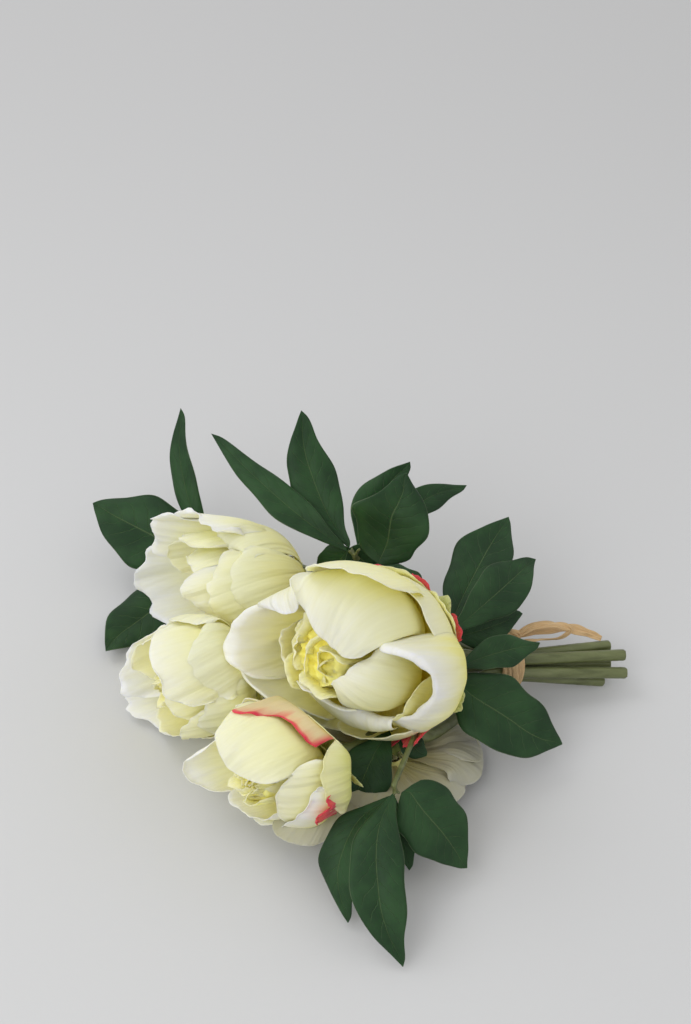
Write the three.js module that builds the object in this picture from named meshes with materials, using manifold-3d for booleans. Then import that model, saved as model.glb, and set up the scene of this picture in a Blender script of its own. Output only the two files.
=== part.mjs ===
// A bunch of five artificial peonies tied with raffia, lying on a flat surface.
// Millimetres, +Z up. The flower heads lie towards -X and the cut stems towards +X.
import * as THREE from 'three';
import { mergeVertices } from 'three/addons/utils/BufferGeometryUtils.js';
import Module from 'manifold-3d';

const wasm = await Module();
wasm.setup();

// ---------- driving dimensions ----------
const STEM_RADIUS = 3;
const STALK_RADIUS = 1.5; // the thin stalks that carry the leaves
const TWIG_RADIUS = 0.9; // from the end of a stalk to each leaflet
const STEM_NECK = 9; // straight stretch of a stem just before its flower
const STEM_SIDES = 8;
const STALK_SIDES = 6;
const CLEARANCE = 0.35; // gap between touching pieces
const PETAL_THICKNESS = 0.9;
const SEPAL_THICKNESS = 1.0;
const SEPAL_GAP = 1.1; // between the sepals and the outer petals
const SEPAL_SHARE = 0.36; // length of a sepal, as a share of the outer petals'
const SEPAL_CLEFT = 0.6;
const CALYX_HEIGHT = 4; // the green cup between the stem and the petals
const CALYX_LIP = 0.7; // how far the cup rises past the point where the petals start
const CALYX_MARGIN = 1.2; // the cup is this much wider than the stem, and CALYX_FLARE more at its lip
const CALYX_FLARE = 1.6;
const LEAF_THICKNESS = 0.8;
const PETALS_PER_LAYER = 5;
const PETAL_CLEFT = 0.27; // how deep the petals of a layer are parted, as a share of their length
const SECTORS = 25; // facets round a layer, the same in every layer so that they nest
const PRESS_DEPTH = 9; // petals start to flatten this near what they are pressed against
const FLOOR_PRESS_DEPTH = 5;
const PETAL_PILE = 5; // height of the spread petals that flower_4 lies on

const COLOURS = {
  petal: 0xece9b4, heart: 0xe6cf4f, calyx: 0xaab76a,
  stem: 0x66743f, leaf: 0x1c4327, raffia: 0xcfa06c,
};

// Where the raffia holds the stems, and the direction of the stems there.
const TIE = new THREE.Vector3(78, 5, 19.5);
const TIE_AXIS = new THREE.Vector3(54, 10, -10).normalize();
const TIE_WIDTH = 11;
const TIE_RUN = 0.8; // the stems run straight this share of the tie's width to each side of it
const RAFFIA_THICKNESS = 1.1;
const RAFFIA_GROOVE = 0.35; // between the turns of the wrap
// Five stems side by side in a ring, 0.3 mm apart.
const STEM_RING = (STEM_RADIUS + 0.15) / Math.sin(Math.PI / 5);
const KNOT_CENTRE = [79, 14.6, 28.2];
const KNOT_SIZE = [4.6, 3.4, 3.2]; // half length, depth and height
const LOOP_WIDTH = 3.6;
const LOOP = [
  [83.5, 16.4, 29], [92, 20.5, 31], [103, 22.5, 30], [110, 22, 26.5], [104, 19.5, 23.5],
  [92, 17, 25], [84.5, 14.5, 27],
];
const TAIL_WIDTH = 5;
const TAIL = [[82, 18.4, 26], [94, 23.5, 25.5], [108, 26.5, 23.5], [119, 25.5, 20.8], [126, 23.6, 18.6]];

// Each flower: where its calyx sits, the way it faces, its radius, how long its petals are
// for that radius and what share of them is the bowl, how many degrees it opens past a cup,
// its petal layers, how far its widest part is from the calyx, how wide it is there when
// pressed, a flower under it, and a stem neck shorter than the others'.
const FLOWERS = [
  { name: 'flower_1', base: [27, -15, 47], axis: [-0.61, -0.56, 0.56], radius: 50,
    length: 1.9, bowl: 0.6, open: 0, turn: 48, layers: 3, depth: 45, bulk: 44 },
  { name: 'flower_2', base: [-24, 43, 37], axis: [-0.94, -0.28, 0.1], radius: 34,
    length: 2.6, bowl: 0.52, open: 0, turn: 30, layers: 3, depth: 42, bulk: 32 },
  { name: 'flower_3', base: [-46, -5, 32], axis: [-0.88, -0.42, 0.08], radius: 31,
    length: 2.15, bowl: 0.58, open: -4, turn: 14, layers: 2, depth: 31, bulk: 31 },
  { name: 'flower_4', base: [-8, -59, 32], axis: [-0.87, -0.42, 0.24], radius: 31,
    length: 2.3, bowl: 0.58, open: -6, turn: 46, layers: 3, depth: 32, bulk: 30, liesOn: 'flower_5' },
  { name: 'flower_5', base: [20, -46, 19], axis: [-0.06, -0.1, -0.993], radius: 44,
    length: 1.2, bowl: 0.66, open: 42, turn: 5, layers: 2, depth: 6, bulk: 15, neck: 3 },
];
// Petal layers from the outside in, as shares of the outer one and angles from the axis.
const LAYERS = [
  { name: 'outer_petals', share: 1.0, side: 13, rim: 34, lift: 1.6 },
  { name: 'middle_petals', share: 0.86, side: 7, rim: 12, lift: 3.7 },
  { name: 'inner_petals', share: 0.68, side: 3, rim: -14, lift: 5.8 },
];

const HEART_WIDTHS = { 2: 0.42, 3: 0.33 }; // half width by number of layers, share of the radius
const HEART_HEIGHT = 0.5; // half height, share of the radius
const HEART_FLAT = 0.12;
const HEART_RUFFLE = 0.12;
const WIDE_OPEN = 30; // degrees of opening

// Each stem: its cut end, then its way from the tie to its flower, in order.
const STEMS = [
  { name: 'stem_1', flower: 1, place: 28, end: [130.5, 23, 14.2], way: [[52, 19, 22], [22, 33, 29]] },
  { name: 'stem_2', flower: 0, place: 100, end: [137, 16, 15.2], way: [[56, -1, 34]] },
  { name: 'stem_3', flower: 2, place: 316, end: [130.5, 16.3, 8.6], way: [[48, 7, 14], [10, 1, 16]] },
  { name: 'stem_4', flower: 3, place: 172, end: [137.5, 9.4, 9.4], way: [[54, -13, 23], [25, -33, 27]] },
  { name: 'stem_5', flower: 4, place: 244, end: [127, 9.6, 3.2],
    way: [[62, -10, 13], [46, -31, 16], [34, -43, 23]] },
];

// Each leaf: the stem that carries its stalk, the stalk's way from stem to hub, and its
// leaflets from the hub, with tip, half width, bow (how far the middle is pushed off the
// straight line) and the way the upper face looks.
const LEAVES = [
  { name: 'leaf_a', stem: 'stem_1', stalk: [[14, 36, 28], [-14, 66, 22], [-48, 84, 17], [-66, 78, 15]],
    leaflets: [
      { broad: true, tip: [-119, 27, 6], half: 16, bow: [-8, 1, -5], face: [-0.1, -0.3, 0.95] },
      { broad: true, tip: [-131, 105, 35], half: 18.5, bow: [-5, 0, 1], face: [0.1, -0.6, 0.8] },
      { tip: [-85, 139, 70], half: 7, bow: [-7, -2, 4], face: [-0.3, -0.8, 0.5] },
    ] },
  { name: 'leaf_b', stem: 'stem_1', stalk: [[26, 31, 27], [21, 43, 36], [9, 48, 48], [4, 44, 55]],
    leaflets: [
      { tip: [36, 15, 48], half: 9, bow: [5, 4, 0], face: [0.1, -0.5, 0.85] },
      { tip: [61, 89, 60], half: 7.5, bow: [0, 4, 6], face: [-0.1, -0.5, 0.85] },
      { tip: [32, 78, 86], half: 11, bow: [-5, 3, -2], face: [0.2, -0.7, 0.7] },
      { tip: [-21, 100, 101], half: 12, bow: [-7, 3, -3], face: [0.2, -0.85, 0.45] },
      { tip: [-66, 98, 88], half: 8.5, bow: [0, -7, 1], face: [0.3, -0.7, 0.6] },
      { broad: true, tip: [28, 56, 99], half: 19, bow: [4, -7, -1], face: [0.1, -0.75, 0.65] },
    ] },
  { name: 'leaf_c', stem: 'stem_2', stalk: [[60, 1, 32], [52, -6, 38], [47, -1, 46]],
    leaflets: [
      { tip: [86, 26, 35], half: 9, bow: [-2, -3, -1], face: [0.2, -0.7, 0.7] },
      { tip: [82, 72, 55], half: 15, bow: [-1, 3, 0], face: [-0.1, -0.5, 0.85] },
      { tip: [93, 52, 46], half: 12, bow: [3, 0, 3], face: [0.1, -0.6, 0.8] },
    ] },
  { name: 'leaf_d', stem: 'stem_2', stalk: [[68, 2, 27], [60, -8, 36], [50, -18, 42]],
    leaflets: [
      { broad: true, tip: [101, -39, 15], half: 18, bow: [-3, -7, 2], face: [0, -0.45, 0.9] },
      { tip: [92, -1, 41], half: 8.5, bow: [-1, 0, 2], face: [0, -0.4, 0.9] },
    ] },
  { name: 'leaf_e', stem: 'stem_4', stalk: [[40, -26, 24], [34, -44, 33], [28, -62, 37], [21, -82, 37]],
    leaflets: [
      { tip: [29, -103, 5], half: 5, bow: [0, 0, -2], face: [0.1, -0.4, 0.9] },
      { tip: [2, -128, 2], half: 11, bow: [-12, -1, 8], face: [-0.5, -0.3, 0.8] },
      { broad: true, tip: [53, -104, 7], half: 16.5, bow: [-1, 2, 5], face: [0.25, -0.45, 0.85] },
      { tip: [25, -149, 1], half: 13, bow: [-10, -4, 9], face: [0, -0.4, 0.9] },
    ] },
  { name: 'leaf_f', stem: 'stem_4', stalk: [[33, -30, 24], [29, -37, 29], [22, -43, 32]],
    leaflets: [
      { tip: [37, -55, 26], half: 6, bow: [0, -2, 0], face: [0.2, -0.6, 0.75] },
      { tip: [1, -84, 10], half: 12, bow: [-2, -1, 5], face: [0, -0.5, 0.85] },
    ] },
];
const LEAF_STATIONS = [0, 0.12, 0.28, 0.46, 0.64, 0.82, 1]; // along a leaflet
const LEAF_FOLD = 0.1; // the two halves rise from the midrib by this share of their width
const HUB_SPACING = 2.6; // from the end of the stalk to where a leaflet starts
const HUB_GROWTH = 0.5; // and this much further for each leaflet of the leaf
const LEAFLET_STEP = 2.6; // leaflets of one leaf start this far above each other

// ---------- vectors ----------
const vec = (list) => new THREE.Vector3(...list);
const mix = (a, b, t) => a.clone().lerp(b, t);
const rad = THREE.MathUtils.degToRad;
const UP = new THREE.Vector3(0, 0, 1);

function crossUnit(a, b) {
  return new THREE.Vector3().crossVectors(a, b).normalize();
}

// ---------- closed solids ----------
function volumeOf(points, triangles) {
  let sum = 0;
  for (const [a, b, c] of triangles) sum += points[a].dot(points[b].clone().cross(points[c]));
  return sum / 6;
}

// A geometry from shared points and triangles, turned so that its faces point out.
function solid(points, triangles) {
  const outward = volumeOf(points, triangles) > 0;
  const geometry = new THREE.BufferGeometry();
  const numbers = points.flatMap((p) => p.toArray());
  geometry.setAttribute('position', new THREE.Float32BufferAttribute(numbers, 3));
  geometry.setIndex(triangles.flatMap(([a, b, c]) => (outward ? [a, b, c] : [a, c, b])));
  return geometry;
}

function welded(geometry) {
  const bare = geometry.clone();
  bare.deleteAttribute('normal');
  bare.deleteAttribute('uv');
  return mergeVertices(bare, 1e-4);
}

// A welded geometry, turned inside out if its faces point inwards.
function facingOut(geometry) {
  const bare = welded(geometry);
  const points = [];
  for (let i = 0; i < bare.attributes.position.count; i += 1) {
    points.push(new THREE.Vector3().fromBufferAttribute(bare.attributes.position, i));
  }
  const index = Array.from(bare.index.array);
  const triangles = [];
  for (let i = 0; i < index.length; i += 3) triangles.push(index.slice(i, i + 3));
  return solid(points, triangles);
}

function toManifold(geometry) {
  const merged = welded(geometry);
  return new wasm.Manifold(new wasm.Mesh({
    numProp: 3,
    vertProperties: new Float32Array(merged.attributes.position.array),
    triVerts: new Uint32Array(merged.index.array),
  }));
}

function fromManifold(body) {
  const mesh = body.getMesh();
  const geometry = new THREE.BufferGeometry();
  geometry.setAttribute('position', new THREE.BufferAttribute(new Float32Array(mesh.vertProperties), 3));
  geometry.setIndex(new THREE.BufferAttribute(new Uint32Array(mesh.triVerts), 1));
  return geometry;
}

function joined(...geometries) {
  const bodies = geometries.map(toManifold);
  return fromManifold(bodies.reduce((whole, body) => whole.add(body)));
}

// Triangles of a grid of rows by columns whose points are numbered from start.
function gridTriangles(start, rows, columns, wraps) {
  const triangles = [];
  const spans = wraps ? columns : columns - 1;
  for (let i = 0; i + 1 < rows; i += 1) {
    for (let j = 0; j < spans; j += 1) {
      const k = (j + 1) % columns;
      const a = start + i * columns + j;
      const b = start + i * columns + k;
      triangles.push([a, b, b + columns], [a, b + columns, a + columns]);
    }
  }
  return triangles;
}

// A round tube of the given radius along a smooth curve through the points.
function tube(points, radius, sides, steps) {
  const path = new THREE.CatmullRomCurve3(points, false, 'centripetal');
  const section = new THREE.Shape();
  for (let i = 0; i < sides; i += 1) {
    const angle = (2 * Math.PI * i) / sides;
    const place = [radius * Math.cos(angle), radius * Math.sin(angle)];
    if (i === 0) section.moveTo(...place);
    else section.lineTo(...place);
  }
  section.closePath();
  return welded(new THREE.ExtrudeGeometry(section, { steps, extrudePath: path, bevelEnabled: false }));
}

// ---------- flowers ----------
// The middle of a flower's cup, where it is widest.
function bodyCentre(flower) {
  return vec(flower.base).addScaledVector(vec(flower.axis).normalize(), flower.depth);
}

// The planes that a flower is pressed against: the surface below and one for each neighbour
// that doesn't lie on its petals.
function pressPlanes(flower) {
  const planes = [{ normal: UP, offset: flower.liesOn ? PETAL_PILE : 0, depth: FLOOR_PRESS_DEPTH }];
  const centre = bodyCentre(flower);
  const stacked = (other) => flower.liesOn === other.name || other.liesOn === flower.name;
  for (const other of FLOWERS.filter((f) => f !== flower && !stacked(f))) {
    const apart = bodyCentre(other).sub(centre);
    const contact = centre.clone().addScaledVector(apart, flower.bulk / (flower.bulk + other.bulk));
    const normal = apart.normalize().negate();
    planes.push({ normal, offset: normal.dot(contact) + CLEARANCE / 2, depth: PRESS_DEPTH });
  }
  return planes;
}

function pressed(point, planes) {
  for (const { normal, offset, depth } of planes) {
    const height = normal.dot(point) - offset;
    if (height < depth) point.addScaledVector(normal, depth * Math.exp((height - depth) / depth) - height);
  }
  return point;
}

const smooth = (t) => {
  const u = Math.min(1, Math.max(0, t));
  return u * u * (3 - 2 * u);
};

// Radius and height along a layer, from the axis outwards, for its whole length.
function cupProfile(length, bowl, side, rim) {
  const steps = 48;
  const line = [{ r: 0, z: 0, lean: Math.PI / 2 }];
  for (let i = 1; i <= steps; i += 1) {
    const u = (i - 0.5) / steps;
    const turn = side + (90 - side) * (1 - smooth(u / bowl));
    const lean = rad(turn + (rim - side) * smooth((u - bowl) / (1 - bowl)));
    const last = line[i - 1];
    const step = length / steps;
    line.push({ r: last.r + step * Math.sin(lean), z: last.z + step * Math.cos(lean), lean });
  }
  return (s) => {
    const at = Math.min(steps, (s / length) * steps);
    const i = Math.min(steps - 1, Math.floor(at));
    const [a, b] = [line[i], line[i + 1]];
    const t = at - i;
    return { r: a.r + (b.r - a.r) * t, z: a.z + (b.z - a.z) * t, lean: a.lean + (b.lean - a.lean) * t };
  };
}

function flowerFrame(flower) {
  const axis = vec(flower.axis).normalize();
  const across = crossUnit(axis, UP);
  const along = crossUnit(axis, across);
  const base = vec(flower.base);
  return (r, angle, z) => base.clone()
    .addScaledVector(across, r * Math.cos(angle))
    .addScaledVector(along, r * Math.sin(angle))
    .addScaledVector(axis, z);
}

// One layer of petals joined at its middle: a cup cut into rounded lobes.
function petalLayer(flower, { cup, share, insets, cleft, turn, rows }) {
  const profile = cupProfile(cup.length, cup.bowl, cup.side, cup.rim);
  const place = flowerFrame(flower);
  const planes = pressPlanes(flower);
  const faces = [[], []];
  for (let i = 0; i <= rows; i += 1) {
    for (let j = 0; j < (i === 0 ? 1 : SECTORS); j += 1) {
      const angle = (2 * Math.PI * j) / SECTORS;
      const lobe = Math.abs(Math.cos((PETALS_PER_LAYER * (angle - rad(turn))) / 2)) ** 0.6;
      const { r, z, lean } = profile((i / rows) * share * cup.length * (1 - cleft * (1 - lobe)));
      insets.forEach((inset, face) => faces[face].push(pressed(
        place(r - inset * Math.cos(lean), angle, z + cup.lift + inset * Math.sin(lean)), planes)));
    }
  }
  return shellOf(faces, rows);
}

// The cup that a layer of a flower's petals follows, with its angles opened as the flower is.
function cupOf(flower, layer) {
  const opened = (angle) => Math.min(88, angle + flower.open);
  return {
    length: layer.share * flower.length * flower.radius,
    bowl: flower.bowl, side: opened(layer.side), rim: opened(layer.rim), lift: layer.lift,
  };
}

// A closed shell from an outer and an inner face that share their rows and their pole.
function shellOf(faces, rows) {
  const count = faces[0].length;
  const triangles = [];
  for (const [side, start] of [[0, 0], [1, count]]) {
    const turned = side === 1;
    const add = (a, b, c) => triangles.push(turned ? [a, c, b] : [a, b, c]);
    for (let j = 0; j < SECTORS; j += 1) add(start, start + 1 + ((j + 1) % SECTORS), start + 1 + j);
    for (const [a, b, c] of gridTriangles(start + 1, rows, SECTORS, true)) add(a, b, c);
  }
  const rim = 1 + (rows - 1) * SECTORS;
  for (let j = 0; j < SECTORS; j += 1) {
    const [a, b] = [rim + j, rim + ((j + 1) % SECTORS)];
    triangles.push([a, b, count + b], [a, count + b, count + a]);
  }
  return solid([...faces[0], ...faces[1]], triangles);
}

// The green cup under the petals, with its sepals lying against the outer layer.
function calyx(flower) {
  const sepals = petalLayer(flower, {
    cup: cupOf(flower, LAYERS[0]), share: SEPAL_SHARE, cleft: SEPAL_CLEFT,
    turn: flower.turn + 36, rows: 4, insets: [-SEPAL_GAP - SEPAL_THICKNESS, -SEPAL_GAP],
  });
  const neck = STEM_RADIUS + CALYX_MARGIN;
  const lip = neck + CALYX_FLARE;
  const profile = [[0, -CALYX_HEIGHT], [neck, -CALYX_HEIGHT], [lip, CALYX_LIP], [0, CALYX_LIP]];
  const cup = new THREE.LatheGeometry(profile.map(([r, z]) => new THREE.Vector2(r, z)), 10);
  const axis = vec(flower.axis).normalize();
  cup.applyQuaternion(new THREE.Quaternion().setFromUnitVectors(new THREE.Vector3(0, 1, 0), axis));
  cup.translate(...flower.base);
  return joined(sepals, cup);
}

// The tuft of small yellow petals and stamens in the middle of a flower: it lies flat in a
// flower that is wide open, fills a flower of two layers and is narrower in one of three.
function heart(flower, layerCount) {
  const width = HEART_WIDTHS[layerCount] * flower.radius;
  const height = (flower.open > WIDE_OPEN ? HEART_FLAT : HEART_HEIGHT) * flower.radius;
  const lift = LAYERS[layerCount - 1].lift + PETAL_THICKNESS + CLEARANCE;
  const tuft = new THREE.SphereGeometry(1, 12, 8);
  const place = flowerFrame(flower);
  const planes = pressPlanes(flower);
  const position = tuft.attributes.position;
  for (let i = 0; i < position.count; i += 1) {
    const p = new THREE.Vector3().fromBufferAttribute(position, i);
    const angle = Math.atan2(p.z, p.x);
    const spread = Math.hypot(p.x, p.z);
    const ruffle = 1 + HEART_RUFFLE * Math.cos(3 * angle) * spread;
    const rise = height * (1 + p.y);
    const r = width * spread * ruffle * (0.62 + 0.2 * (1 + p.y));
    position.setXYZ(i, ...pressed(place(r, angle, lift + rise), planes).toArray());
  }
  return facingOut(tuft);
}

function flowerPieces(flower) {
  const pieces = [[`${flower.name}_calyx`, calyx(flower), 'calyx']];
  const layers = LAYERS.slice(0, flower.layers);
  for (const layer of layers) {
    pieces.push([`${flower.name}_${layer.name}`, petalLayer(flower, {
      cup: cupOf(flower, layer), share: 1, cleft: PETAL_CLEFT, rows: 5,
      turn: flower.turn + 36 * LAYERS.indexOf(layer), insets: [0, PETAL_THICKNESS],
    }), 'petal']);
  }
  pieces.push([`${flower.name}_heart`, heart(flower, layers.length), 'heart']);
  return pieces;
}

// ---------- stems and leaf stalks ----------
// Where a stem passes the tie: the five stems stand in a ring round its axis.
function placeInTie(degrees) {
  const across = crossUnit(UP, TIE_AXIS);
  const above = crossUnit(TIE_AXIS, across);
  return TIE.clone()
    .addScaledVector(across, STEM_RING * Math.cos(rad(degrees)))
    .addScaledVector(above, STEM_RING * Math.sin(rad(degrees)));
}

function stemPoints(stem) {
  const flower = FLOWERS[stem.flower];
  const axis = vec(flower.axis).normalize();
  const under = vec(flower.base).addScaledVector(axis, -CALYX_HEIGHT - CLEARANCE);
  const tied = placeInTie(stem.place);
  const leaving = tied.clone().addScaledVector(TIE_AXIS, TIE_WIDTH * TIE_RUN);
  return [
    vec(stem.end),
    mix(vec(stem.end), leaving, 0.5),
    leaving,
    tied,
    tied.clone().addScaledVector(TIE_AXIS, -TIE_WIDTH * TIE_RUN),
    ...stem.way.map(vec),
    under.clone().addScaledVector(axis, -(flower.neck ?? STEM_NECK)),
    under,
  ];
}

// A leaf's stalk, with a twig from its end to just before each leaflet.
function stalkSolids(leaf) {
  const hub = vec(leaf.stalk.at(-1));
  const back = vec(leaf.stalk.at(-2)).sub(hub).normalize();
  const stalk = tube(leaf.stalk.map(vec), STALK_RADIUS, STALK_SIDES, 8);
  const twigs = leaf.leaflets.map((shape, i) => {
    const { start, forward } = leafletStart(hub, i, leaf.leaflets.length, shape);
    const end = start.clone().addScaledVector(forward, -CLEARANCE);
    const bend = end.clone().addScaledVector(forward, -TWIG_RADIUS);
    return tube([hub.clone().addScaledVector(back, TWIG_RADIUS), bend, end], TWIG_RADIUS, STALK_SIDES, 4);
  });
  return [stalk, ...twigs];
}

function stemSolid(stem) {
  const main = tube(stemPoints(stem), STEM_RADIUS, STEM_SIDES, 18);
  const leaves = LEAVES.filter((leaf) => leaf.stem === stem.name);
  return joined(main, ...leaves.flatMap(stalkSolids));
}

// ---------- leaflets ----------
// Share of the full width along a leaflet, from 0 at the hub to 1 at the tip.
const broadOutline = (t) => Math.sin(Math.PI * t ** 0.85) ** 0.8;
const slimOutline = (t) => Math.sin(Math.PI * t) ** 1.1;

// Where a leaflet starts and its direction there: the leaflets of a leaf start one above another.
function leafletStart(hub, order, count, { tip, bow, face }) {
  const end = vec(tip);
  const start = hub.clone()
    .addScaledVector(end.clone().sub(hub).normalize(), HUB_SPACING + HUB_GROWTH * count)
    .addScaledVector(vec(face).normalize(), LEAFLET_STEP * (order - (count - 1) / 2));
  const bend = mix(start, end, 0.5).addScaledVector(vec(bow), 2);
  return { start, bend, end, forward: bend.clone().sub(start).normalize() };
}

// One leaflet: a thin blade, folded a little along its midrib, from the hub to its tip.
function leaflet(hub, order, count, shape) {
  const { half, face, broad } = shape;
  const facing = vec(face).normalize();
  const { start, bend, end } = leafletStart(hub, order, count, shape);
  const spine = new THREE.QuadraticBezierCurve3(start, bend, end);
  const faces = [[], []];
  for (const t of LEAF_STATIONS) {
    const middle = spine.getPoint(t);
    const forward = spine.getTangent(t);
    const across = crossUnit(forward, facing);
    const normal = crossUnit(across, forward);
    const width = Math.max(0.8, half * (broad ? broadOutline(t) : slimOutline(t)));
    for (const side of [-1, 0, 1]) {
      const p = middle.clone().addScaledVector(across, side * width)
        .addScaledVector(normal, Math.abs(side) * LEAF_FOLD * width);
      faces[0].push(p.clone().addScaledVector(normal, LEAF_THICKNESS / 2));
      faces[1].push(p.clone().addScaledVector(normal, -LEAF_THICKNESS / 2));
    }
  }
  return bladeOf(faces, LEAF_STATIONS.length, 3);
}

// A closed blade from an upper and a lower face of rows by columns points.
function bladeOf(faces, rows, columns) {
  const count = rows * columns;
  const triangles = gridTriangles(0, rows, columns, false);
  for (const [a, b, c] of gridTriangles(count, rows, columns, false)) triangles.push([a, c, b]);
  const edge = [];
  for (let j = 0; j < columns; j += 1) edge.push(j);
  for (let i = 1; i < rows; i += 1) edge.push(i * columns + columns - 1);
  for (let j = columns - 2; j >= 0; j -= 1) edge.push((rows - 1) * columns + j);
  for (let i = rows - 2; i > 0; i -= 1) edge.push(i * columns);
  edge.forEach((a, i) => {
    const b = edge[(i + 1) % edge.length];
    triangles.push([a, count + b, b], [a, count + a, count + b]);
  });
  return solid([...faces[0], ...faces[1]], triangles);
}

function leafPieces(leaf) {
  const hub = vec(leaf.stalk.at(-1));
  return leaf.leaflets.map((shape, i) => [
    `${leaf.name}_leaflet_${i + 1}`, leaflet(hub, i, leaf.leaflets.length, shape), 'leaf',
  ]);
}

// ---------- raffia ----------
// The wrap: a band of three turns round the five stems.
function raffiaWrap() {
  const inner = STEM_RING + STEM_RADIUS + CLEARANCE;
  const outer = inner + RAFFIA_THICKNESS;
  const w = TIE_WIDTH / 2;
  const grooved = outer - RAFFIA_GROOVE;
  const profile = [
    [inner, -w], [grooved, -w], [outer, -w * 0.66], [grooved, -w * 0.33], [outer, 0],
    [grooved, w * 0.33], [outer, w * 0.66], [grooved, w], [inner, w], [inner, -w],
  ];
  const band = new THREE.LatheGeometry(profile.map(([r, z]) => new THREE.Vector2(r, z)), 20);
  band.applyQuaternion(new THREE.Quaternion().setFromUnitVectors(new THREE.Vector3(0, 1, 0), TIE_AXIS));
  band.translate(...TIE.toArray());
  return welded(band);
}

// A flat strand of raffia along the points.
function strand(points, width) {
  const path = new THREE.CatmullRomCurve3(points.map(vec), false, 'centripetal');
  const t = RAFFIA_THICKNESS / 2;
  const w = width / 2;
  const section = new THREE.Shape([[-t, -w], [t, -w], [t, w], [-t, w]].map((p) => new THREE.Vector2(...p)));
  return welded(new THREE.ExtrudeGeometry(section, { steps: 14, extrudePath: path, bevelEnabled: false }));
}

function raffiaKnot() {
  const knot = new THREE.SphereGeometry(1, 10, 7);
  knot.scale(...KNOT_SIZE);
  knot.translate(...KNOT_CENTRE);
  return welded(knot);
}

// ---------- the bunch ----------
function mesh(name, geometry, kind) {
  const glossy = kind === 'stem' || kind === 'calyx';
  const material = new THREE.MeshStandardMaterial({
    color: COLOURS[kind], roughness: glossy ? 0.5 : 0.8, metalness: 0,
  });
  const piece = new THREE.Mesh(geometry, material);
  piece.name = name;
  return piece;
}

function bunch() {
  const pieces = [
    ...STEMS.map((stem) => [stem.name, stemSolid(stem), 'stem']),
    ...FLOWERS.flatMap(flowerPieces),
    ...LEAVES.flatMap(leafPieces),
    ['raffia_wrap', raffiaWrap(), 'raffia'],
    ['raffia_knot', raffiaKnot(), 'raffia'],
    ['raffia_loop', strand(LOOP, LOOP_WIDTH), 'raffia'],
    ['raffia_tail', strand(TAIL, TAIL_WIDTH), 'raffia'],
  ];
  const group = new THREE.Group();
  for (const [name, geometry, kind] of pieces) group.add(mesh(name, geometry, kind));
  return group;
}

// The origin is under the middle of the bunch, on the surface it lies on.
const group = bunch();
const box = new THREE.Box3().setFromObject(group);
const middle = box.getCenter(new THREE.Vector3());
group.position.set(-middle.x, -middle.y, -box.min.z);

export default group;
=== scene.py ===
# A bunch of five silk peonies tied with raffia, lying on a pale studio floor. Metres, +Z up.
import math

import bpy
import numpy as np
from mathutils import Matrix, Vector


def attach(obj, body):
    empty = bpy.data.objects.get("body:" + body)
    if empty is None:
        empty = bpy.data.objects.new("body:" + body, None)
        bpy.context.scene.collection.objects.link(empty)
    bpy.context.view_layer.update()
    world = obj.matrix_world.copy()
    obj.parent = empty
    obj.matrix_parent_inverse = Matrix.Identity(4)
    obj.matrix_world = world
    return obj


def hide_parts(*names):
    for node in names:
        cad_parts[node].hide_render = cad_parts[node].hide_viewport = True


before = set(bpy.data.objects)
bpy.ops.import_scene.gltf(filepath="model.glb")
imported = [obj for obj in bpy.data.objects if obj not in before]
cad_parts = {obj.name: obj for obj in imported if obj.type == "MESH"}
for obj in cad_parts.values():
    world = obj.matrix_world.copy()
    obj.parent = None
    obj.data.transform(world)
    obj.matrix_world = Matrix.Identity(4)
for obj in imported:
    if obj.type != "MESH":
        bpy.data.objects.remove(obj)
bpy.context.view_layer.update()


MM = 0.001

# ---------- driving dimensions, in millimetres and degrees ----------
SILK = 0.28  # thickness of a petal
SATIN = 0.5  # thickness of a leaf
WRAP_RAFFIA, LOOSE_RAFFIA = 0.5, 0.3  # thickness of the turns round the stems, and of a loose strip
PETAL_FLOOR, LEAF_FLOOR = 0.3, 0.4  # how far above the floor petals and leaves stay
ROWS, COLUMNS, ROLL_ROWS = 24, 31, 6  # points along and across a petal, and faces along its rolled edge
SMALL = (12, 9)  # rows and columns of a small petal
PETAL_ROOT = 2.5  # radius of the ring where petals start
FLOOR_PRESS = 4  # petals start to flatten this near the floor
NEIGHBOUR_PRESS = 7  # and this near another flower
NEIGHBOUR_ROOM = 6  # flowers with less room than this between them press each other
GUARD_SLACK, GUARD_PRESS = 6, 3  # the short outer petals may pass the planes by this, and flatten this near
CALYX_HEIGHT = 4.35  # from the end of a stem to where the petals start
STEM_VOXEL = 0.65  # size of the voxels that make the stems round

STEM_OF = {"flower_1": "stem_2", "flower_2": "stem_1", "flower_3": "stem_3",
           "flower_4": "stem_4", "flower_5": "stem_5"}
NESTED = {"flower_4", "flower_5"}  # flower 4 lies in the spread flower 5, with no plane between them
STEM_BY_LEAF = {"leaf_a": "stem_1", "leaf_b": "stem_1", "leaf_c": "stem_2", "leaf_d": "stem_2",
                "leaf_e": "stem_4", "leaf_f": "stem_4"}


# ---------- small helpers ----------
def unit(v):
    return v / np.linalg.norm(v)


def unit_rows(m):
    return m / np.linalg.norm(m, axis=1)[:, None]


def smooth(t):
    """0 below 0, 1 above 1 and a smooth step between."""
    t = np.clip(t, 0, 1)
    return t * t * (3 - 2 * t)


def node_points(node):
    """The different vertices of a CAD node, in millimetres."""
    co = np.array([v.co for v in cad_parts[node].data.vertices]) / MM
    return np.unique(np.round(co, 3), axis=0)


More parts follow.
